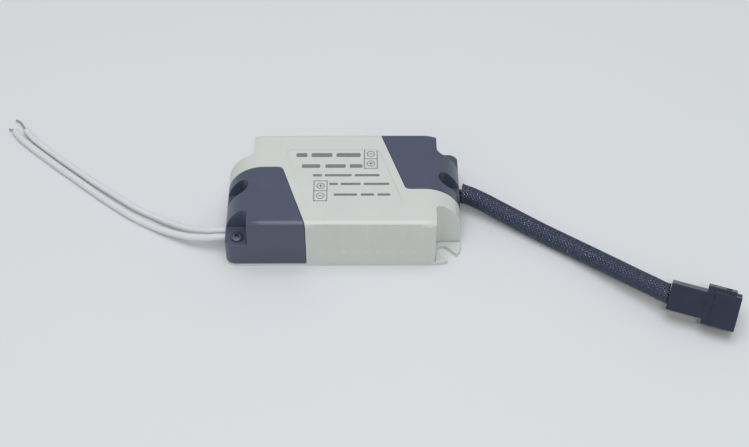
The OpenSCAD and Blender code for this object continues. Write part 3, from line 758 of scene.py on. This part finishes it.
class Route:
    """A smooth line through a cord's points, along which a straight shape is bent."""

    def __init__(self, points_mm: Sequence[Point], fineness: int = 10) -> None:
        """Runs a curve through the points and carries a frame along it.

        Args:
            points_mm: The route's points in millimetres.
            fineness: Steps between two points.
        """
        knots = [Vector(p) * MM for p in points_mm]
        padded = [2 * knots[0] - knots[1], *knots, 2 * knots[-1] - knots[-2]]
        self.points: list[Vector] = []
        for a, b, c, d in zip(padded, padded[1:], padded[2:], padded[3:]):
            for k in range(fineness):
                self.points.append(self._between(a, b, c, d, k / fineness))
        self.points.append(knots[-1])
        self.reach = [0.0]
        for a, b in zip(self.points, self.points[1:]):
            self.reach.append(self.reach[-1] + (b - a).length)
        self.length = self.reach[-1]
        self.along = [self._heading(i) for i in range(len(self.points))]
        self.side = [self.along[0].cross(Vector((0, 0, 1))).normalized()]
        for heading in self.along[1:]:
            carried = self.side[-1] - heading * self.side[-1].dot(heading)
            self.side.append(carried.normalized())

    @staticmethod
    def _between(a: Vector, b: Vector, c: Vector, d: Vector, t: float) -> Vector:
        """Gives a point of the curve between b and c.

        Args:
            a: Point before.
            b: Start of the span.
            c: End of the span.
            d: Point after.
            t: Share of the span, 0 to 1.

        Returns:
            The point.
        """
        square = 2 * a - 5 * b + 4 * c - d
        cube = 3 * b - a - 3 * c + d
        return 0.5 * (2 * b + (c - a) * t + square * t ** 2 + cube * t ** 3)

    def _heading(self, i: int) -> Vector:
        """Returns the direction of the curve at its point i."""
        last = len(self.points) - 1
        return (self.points[min(i + 1, last)] - self.points[max(i - 1, 0)]).normalized()

    def bend(self, bm: bmesh.types.BMesh) -> None:
        """Moves a straight shape on the X axis onto the route.

        Args:
            bm: The shape, with X from 0 to the route's length.
        """
        for vert in bm.verts:
            x, y, z = vert.co
            i = min(max(bisect_right(self.reach, x) - 1, 0), len(self.points) - 2)
            share = (x - self.reach[i]) / (self.reach[i + 1] - self.reach[i])
            middle = self.points[i].lerp(self.points[i + 1], share)
            blend = min(max(share, 0.0), 1.0)
            along = self.along[i].lerp(self.along[i + 1], blend).normalized()
            side = self.side[i].lerp(self.side[i + 1], blend)
            side = (side - along * side.dot(along)).normalized()
            vert.co = middle - side * y + side.cross(along) * z
        bm.normal_update()

    def path(self) -> list[Point]:
        """Returns the curve's points as plain numbers."""
        return [tuple(p) for p in self.points]


def straight_tube(bm: bmesh.types.BMesh, radius: float, length: float, sides: int, rings: int,
                  rim: float) -> None:
    """Adds a closed round bar along X, with rounded rims and rings along it.

    Args:
        bm: The mesh to add to.
        radius: The bar's radius.
        length: Its length.
        sides: Number of sides.
        rings: Number of cuts along it.
        rim: Rounding of its two ends.
    """
    lie = Matrix.Translation((length / 2, 0, 0)) @ Matrix.Rotation(math.pi / 2, 4, "Y")
    made = bmesh.ops.create_cone(bm, cap_ends=True, segments=sides, radius1=radius, radius2=radius,
                                 depth=length, matrix=lie)
    edges = {e for v in made["verts"] for e in v.link_edges}
    rims = [e for e in edges if abs(e.verts[0].co.x - e.verts[1].co.x) < length / 2]
    bmesh.ops.bevel(bm, geom=rims, offset=rim, offset_type="OFFSET", affect="EDGES",
                    segments=RIM_STEPS, profile=0.5, material=-1)
    long_edges = [e for e in bm.edges if e.calc_length() > length / 2]
    bmesh.ops.subdivide_edges(bm, edges=long_edges, cuts=rings, use_grid_fill=True)


@dataclass
class InputLead:
    """A white input wire's insulated length; its stripped, twisted and tinned end is made in InputLeads.
    """

    name: str
    node: str
    route: Sequence[Point]
    exit_mm: Point
    diameter: float = 2.16 * MM
    sides: int = 24
    rings: int = 110
    rim: float = 0.18 * MM

    def build(self) -> tuple[bpy.types.Object, Route]:
        """Bends the insulated wire onto its route.

        Returns:
            The wire's piece and its route.
        """
        line = Route(self.route)
        bm = bmesh.new()
        straight_tube(bm, self.diameter / 2, line.length, self.sides, self.rings, self.rim)
        line.bend(bm)
        return keep_piece(bm, self.name, [Finish.INSULATION], [self.node]), line


@dataclass
class InputLeads:
    """The two input wires and their bare ends."""

    strand_r: float = 0.11 * MM
    lay_r: float = 0.22 * MM
    outer: int = 6
    twist: float = 1.6 * math.pi
    twist_l: float = 5.0 * MM
    twist_steps: int = 20
    outer_sides: int = 7
    middle_sides: int = 8
    middle_rings: int = 16
    rim: float = 0.04 * MM
    near: tuple[Point, ...] = (
        (-24, -9.2, 5.2), (-29.75, -9.2, 5.2), (-35.5, -9.2, 5.2), (-38.5, -9.2, 5.2), (-41.3, -8.8, 4.6),
        (-45.3, -7.4, 3.5), (-49.3, -5.5, 2.4), (-54.1, -2.7, 1.5), (-58.8, 0.1, 1.1), (-64.3, 3.3, 1.1),
        (-69.3, 7, 1.1), (-74.7, 11.2, 1.1), (-80.3, 15.7, 1.1), (-85.3, 20, 1.1), (-89.6, 23.7, 1.1),
        (-93.6, 27.2, 1.1), (-97.8, 31, 1.1), (-101.5, 34.6, 1.1), (-104.5, 38.4, 1.1))
    far: tuple[Point, ...] = (
        (-24, -12, 5.2), (-29.75, -12, 5.2), (-35.5, -12, 5.2), (-38.5, -12, 5.2), (-41.3, -11.7, 4.6),
        (-46.3, -10.4, 3.4), (-51.3, -8.2, 2.3), (-56.3, -5.6, 1.5), (-61.3, -2.6, 1.1), (-66.3, 0.6, 1.1),
        (-71.5, 4.6, 1.1), (-76.9, 9, 1.1), (-82.3, 13.7, 1.1), (-87.7, 18.4, 1.1), (-92.2, 22.3, 1.1),
        (-96.6, 26.3, 1.1), (-101.1, 30.4, 1.1), (-105.1, 34.3, 1.1), (-108.1, 38.1, 1.1))
    near_tip: tuple[Point, ...] = (
        (-104.5, 38.4, 1.1), (-105.9, 40.8, 1.0), (-107.2, 42.8, 0.8), (-108.7, 43.8, 0.7))
    far_tip: tuple[Point, ...] = ((-108.1, 38.1, 1.1), (-109.1, 38.9, 1.0), (-110.2, 39.4, 0.7))

    def build(self) -> list[bpy.types.Object]:
        """Returns:
            The pieces.
        """
        tips = self._tips()
        pieces = [tips]
        wires = (
            InputLead("input_wire_near_lead", "input_wire_near", self.near, (-35.5, -9.2, 5.2)),
            InputLead("input_wire_far_lead", "input_wire_far", self.far, (-35.5, -12, 5.2)),
        )
        for wire in wires:
            piece, line = wire.build()
            line.path()
            pieces.append(piece)
        return pieces

    def _tips(self) -> bpy.types.Object:
        """Twists the bare strands of both ends.

        Returns:
            The piece that holds both bare ends.
        """
        whole = bmesh.new()
        for points in (self.near_tip, self.far_tip):
            line = Route(points)
            bm = bmesh.new()
            straight_tube(bm, self.strand_r, line.length, self.middle_sides, self.middle_rings, self.rim)
            for k in range(self.outer):
                self._strand(bm, 2 * math.pi * k / self.outer, line.length)
            line.bend(bm)
            bmesh.ops.recalc_face_normals(bm, faces=bm.faces)
            mesh = bpy.data.meshes.new("tip")
            bm.to_mesh(mesh)
            bm.free()
            whole.from_mesh(mesh)
        return keep_piece(whole, "wire_tip_strands", [Finish.TINNED], ["wire_tips"],
                          sharp_deg=60.0)

    def _strand(self, bm: bmesh.types.BMesh, turn: float, length: float) -> None:
        """Adds one outer strand, wound round the middle one.

        Args:
            bm: The straight bundle along X.
            turn: The strand's place round the bundle.
            length: The bundle's length.
        """
        place = Matrix.Rotation(turn, 4, "X") @ Matrix.Translation((0, 0, self.lay_r))
        ring = bmesh.ops.create_circle(bm, cap_ends=True, segments=self.outer_sides, radius=self.strand_r,
                                       matrix=place @ Matrix.Rotation(math.pi / 2, 4, "Y"))
        geom = [*ring["verts"], *{e for v in ring["verts"] for e in v.link_edges},
                *{f for v in ring["verts"] for f in v.link_faces}]
        bmesh.ops.spin(bm, geom=geom, cent=(0, 0, 0), axis=(1, 0, 0),
                       dvec=(length / self.twist_steps, 0, 0),
                       angle=self.twist * length / self.twist_l, steps=self.twist_steps)


@dataclass
class OutputLead:
    """The braided sleeve, the leads under it, and the receptacle on its end."""

    diameter: float = 5.9 * MM
    carriers: int = 16
    lay: float = 2.7 * MM
    swing: float = 0.11 * MM
    crown: float = 0.1 * MM
    belly: float = 0.07 * MM
    cover: float = 0.42
    lead: float = 18.0 * MM
    steps_per_crossing: int = 3
    core_r: float = 2.45 * MM
    core_sides: int = 20
    core_rings: int = 90
    core_rim: float = 0.3 * MM
    flare: float = 0.2 * MM
    start_slant: float = 0.17
    end_slant: float = 0.27
    end_gap: float = 0.11 * MM
    flare_l: float = 2.0 * MM
    route: tuple[Point, ...] = (
        (36.66, 5.578, 5.4), (39.2, 4.6, 5.2), (43.2, 2.5, 4.7), (47.2, 0.1, 4.1), (51.2, -2.4, 3.6),
        (55.7, -5.4, 3.2), (60.7, -8.8, 2.97), (65.9, -12.4, 2.97), (70.7, -15.9, 3.2), (75.2, -19.5, 3.7),
        (79.2, -23, 4.4), (83.2, -26.4, 5.0), (87.2, -29.8, 5.6), (90.5, -32.5, 6.1), (92.7, -34.4, 6.4),
        (94.68, -35.793, 6.523))

    def build(self) -> list[bpy.types.Object]:
        """Returns:
            The pieces.
        """
        line = Route(self.route)
        bm = bmesh.new()
        across = bm.verts.layers.float.new("across")
        straight_tube(bm, self.core_r, line.length, self.core_sides, self.core_rings, self.core_rim)
        for face in bm.faces:
            face.material_index = 1
        for turn in (1, -1):
            self._strands(bm, line.length, turn, across)
        for vert in bm.verts:
            self._flare(vert, line.length)
        line.bend(bm)
        bmesh.ops.recalc_face_normals(bm, faces=bm.faces)
        sleeve = keep_piece(bm, "braided_sleeve_weave", [Finish.BRAID, Finish.LEAD],
                            ["braided_sleeve"], sharp_deg=70.0)
        housing = SoftCopy("connector_housing", Finish.CONNECTOR, "connector_plastic",
                           edge=0.1 * MM).build()
        contacts = SoftCopy("connector_contacts", Finish.CONTACT, "contact_brass",
                            edge=0.08 * MM).build()
        leads = SoftCopy("output_leads", Finish.LEAD, "lead_plastic", edge=0.1 * MM).build()
        return [sleeve, housing, contacts, leads]

    def _strands(self, bm: bmesh.types.BMesh, length: float, turn: int, across) -> None:
        """Winds one set of parallel strands and lets them swing over and under the other set.

        Args:
            bm: The straight sleeve along X.
            length: Its length.
            turn: 1 for a right-hand set, -1 for a left-hand set.
            across: The layer that takes each point's place across its strand.
        """
        old = set(bm.verts)
        half = self.cover * self.lead / self.carriers
        section = ((-half, 0.0), (-half / 2, self.crown), (half / 2, self.crown), (half, 0.0),
                   (0.0, -self.belly))
        face = bm.faces.new([bm.verts.new((x, 0.0, self.lay + r)) for x, r in section])
        angle = 2 * math.pi * length / self.lead
        steps = round(length / self.lead * 2 * self.carriers * self.steps_per_crossing)
        bmesh.ops.spin(bm, geom=[face, *face.edges, *face.verts], cent=(0, 0, 0), axis=(1, 0, 0),
                       dvec=(length / steps, 0, 0), angle=turn * angle, steps=steps)
        fresh = [v for v in bm.verts if v not in old]
        geom = [*fresh, *{e for v in fresh for e in v.link_edges},
                *{f for v in fresh for f in v.link_faces}]
        around = 2 * math.pi * (self.carriers - 1) / self.carriers
        bmesh.ops.spin(bm, geom=geom, cent=(0, 0, 0), axis=(1, 0, 0), dvec=(0, 0, 0), angle=around,
                       steps=self.carriers - 1, use_duplicate=True)
        for vert in bm.verts:
            if vert not in old:
                self._swing(vert, turn, length, across)

    def _swing(self, vert: bmesh.types.BMVert, turn: int, length: float, across) -> None:
        """Lifts or sinks a point of a strand, and keeps it within the sleeve's length.

        Args:
            vert: The point.
            turn: The hand of its set.
            length: The sleeve's length.
            across: The layer that takes its place across the strand.
        """
        x, y, z = vert.co
        theta = math.atan2(-y, z)
        own = self.carriers * (theta / (2 * math.pi) - turn * x / self.lead)
        other = self.carriers * (theta / (2 * math.pi) + turn * x / self.lead)
        strand = round(own)
        vert[across] = (own - strand) / self.cover
        lift = 1 + turn * self.swing * math.cos(math.pi * (strand + other)) / math.hypot(y, z)
        vert.co = (min(max(x, 0.0), length), y * lift, z * lift)

    def _flare(self, vert: bmesh.types.BMVert, length: float) -> None:
        """Opens the cut ends of the sleeve a little and slants them to the wall and the receptacle.

        Args:
            vert: A point of the straight sleeve.
            length: The sleeve's length.
        """
        at_start = max(1 - vert.co.x / self.flare_l, 0.0)
        at_end = max(1 - (length - vert.co.x) / self.flare_l, 0.0)
        vert.co.x -= self.start_slant * (vert.co.y + self.diameter / 2) * at_start
        vert.co.x -= (self.end_slant * vert.co.y + self.end_gap) * at_end
        radius = math.hypot(vert.co.y, vert.co.z)
        if radius > self.core_r:
            grow = 1 + self.flare * (at_start + at_end) ** 2 / radius
            vert.co.y *= grow
            vert.co.z *= grow


class BoardParts:
    """The circuit board and what is on it, which keep their CAD shapes."""

    FINISHES = {
        "circuit_board": Finish.LAMINATE,
        "transformer_core": Finish.FERRITE,
        "transformer_bobbin": Finish.BOBBIN,
        "transformer_winding": Finish.TAPE,
        "input_capacitor": Finish.CAN,
        "output_capacitor": Finish.CAN,
        "input_choke": Finish.FERRITE,
        "safety_capacitor": Finish.CERAMIC,
        "driver_chip": Finish.CHIP,
        "bridge_rectifier": Finish.CHIP,
        "fuse_resistor": Finish.RESISTOR,
        "output_diode": Finish.CHIP,
        "small_parts": Finish.RESISTOR,
        "input_clamp": Finish.WHITE_CASE,
        "output_clamp": Finish.WHITE_CASE,
    }

    def dress(self) -> None:
        """Gives each inner node its finish."""
        for node, finish in self.FINISHES.items():
            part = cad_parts[node]
            if not part.material_slots:
                part.data.materials.append(None)
            for slot in part.material_slots:
                slot.material = finish.material()
            LOG.info("%s: %s", node, finish.value.name)


@dataclass(frozen=True)
class Lamp:
    """A round lamp that faces the driver."""

    name: str
    place: Point
    size: float
    power: float
    colour: Colour

    def hang(self) -> None:
        """Adds the lamp to the scene."""
        lamp = bpy.data.lights.new(self.name, "AREA")
        lamp.shape = "DISK"
        lamp.size = self.size
        lamp.energy = self.power
        lamp.color = self.colour
        hung = bpy.data.objects.new(self.name, lamp)
        hung.location = self.place
        hung.rotation_euler = (-Vector(self.place)).to_track_quat("-Z", "Y").to_euler()
        bpy.context.scene.collection.objects.link(hung)


@dataclass
class Studio:
    """Pale floor, soft light and the camera at the photograph's angle."""

    floor_colour: Colour = (0.71, 0.73, 0.75)
    sky_colour: Colour = (1.0, 0.99, 0.94)
    sky_strength: float = 0.5
    floor_size: float = 3.0
    floor_shade: float = 0.97
    floor_grain: float = 900.0
    floor_cloud: float = 6.0
    floor_roughness: float = 0.7
    floor_specular: float = 0.2
    sensor: float = 36.0
    near_clip: float = 0.01
    key: Lamp = Lamp("key", (0.0, -0.06, 0.72), 0.6, 2.35, (0.955, 0.985, 1.075))
    glint: Lamp = Lamp("glint", (0.06, -0.72, 0.84), 0.14, 1.85, (1.0, 0.98, 0.93))
    lens: float = 67.29
    eye_mm: Point = (5.815, -292.77, 321.136)
    right: Point = (0.99996454, -0.00708688, 0.00454828)
    up: Point = (0.00219986, 0.74121276, 0.67126657)
    back: Point = (-0.00812843, -0.67123276, 0.74120207)

    def build(self) -> None:
        """Sets up the floor, the lights and the camera."""
        self._floor()
        self._light()
        self._camera()
        bpy.context.scene.view_settings.view_transform = "Standard"

    def _floor(self) -> None:
        """Lays the floor."""
        bm = bmesh.new()
        bmesh.ops.create_grid(bm, x_segments=2, y_segments=2, size=self.floor_size)
        mesh = bpy.data.meshes.new("floor")
        bm.to_mesh(mesh)
        bm.free()
        floor = bpy.data.objects.new("floor", mesh)
        bpy.context.scene.collection.objects.link(floor)
        material, graph, shader = new_material("pale_floor")
        place = graph.node("ShaderNodeTexCoord").outputs["Object"]
        grain = graph.group(EFFECTS.grain, Vector=place, Grain_Scale=self.floor_grain,
                            Cloud_Scale=self.floor_cloud)
        darker = tuple(self.floor_shade * c for c in self.floor_colour)
        colour = graph.mix(grain.outputs["Tone"], darker, self.floor_colour)
        graph.tree.links.new(colour, shader.inputs["Base Color"])
        shader.inputs["Roughness"].default_value = self.floor_roughness
        shader.inputs["Specular IOR Level"].default_value = self.floor_specular
        mesh.materials.append(material)

    def _light(self) -> None:
        """Lights the room evenly and hangs a wide lamp above and a small one by the camera."""
        world = bpy.data.worlds.new("room")
        world.use_nodes = True
        sky = world.node_tree.nodes["Background"]
        sky.inputs["Color"].default_value = (*self.sky_colour, 1.0)
        sky.inputs["Strength"].default_value = self.sky_strength
        bpy.context.scene.world = world
        self.key.hang()
        self.glint.hang()

    def _camera(self) -> None:
        """Sets the camera from its measured place and axes."""
        lens = bpy.data.cameras.new("camera")
        lens.sensor_fit = "HORIZONTAL"
        lens.sensor_width = self.sensor
        lens.lens = self.lens
        lens.clip_start = self.near_clip
        camera = bpy.data.objects.new("camera", lens)
        turn = Matrix((self.right, self.up, self.back)).transposed().to_4x4()
        camera.matrix_world = Matrix.Translation(Vector(self.eye_mm) * MM) @ turn
        bpy.context.scene.collection.objects.link(camera)
        bpy.context.scene.camera = camera


def main() -> None:
    """Builds the driver's looks in order."""
    logging.basicConfig(level=logging.INFO, format="%(name)s %(message)s")
    Studio().build()
    InputLeads().build()
    OutputLead().build()
    CaseShells().build()
    CapScrews().build()
    LabelPrint().build()
    BoardParts().dress()


if __name__ == "__main__":
    main()
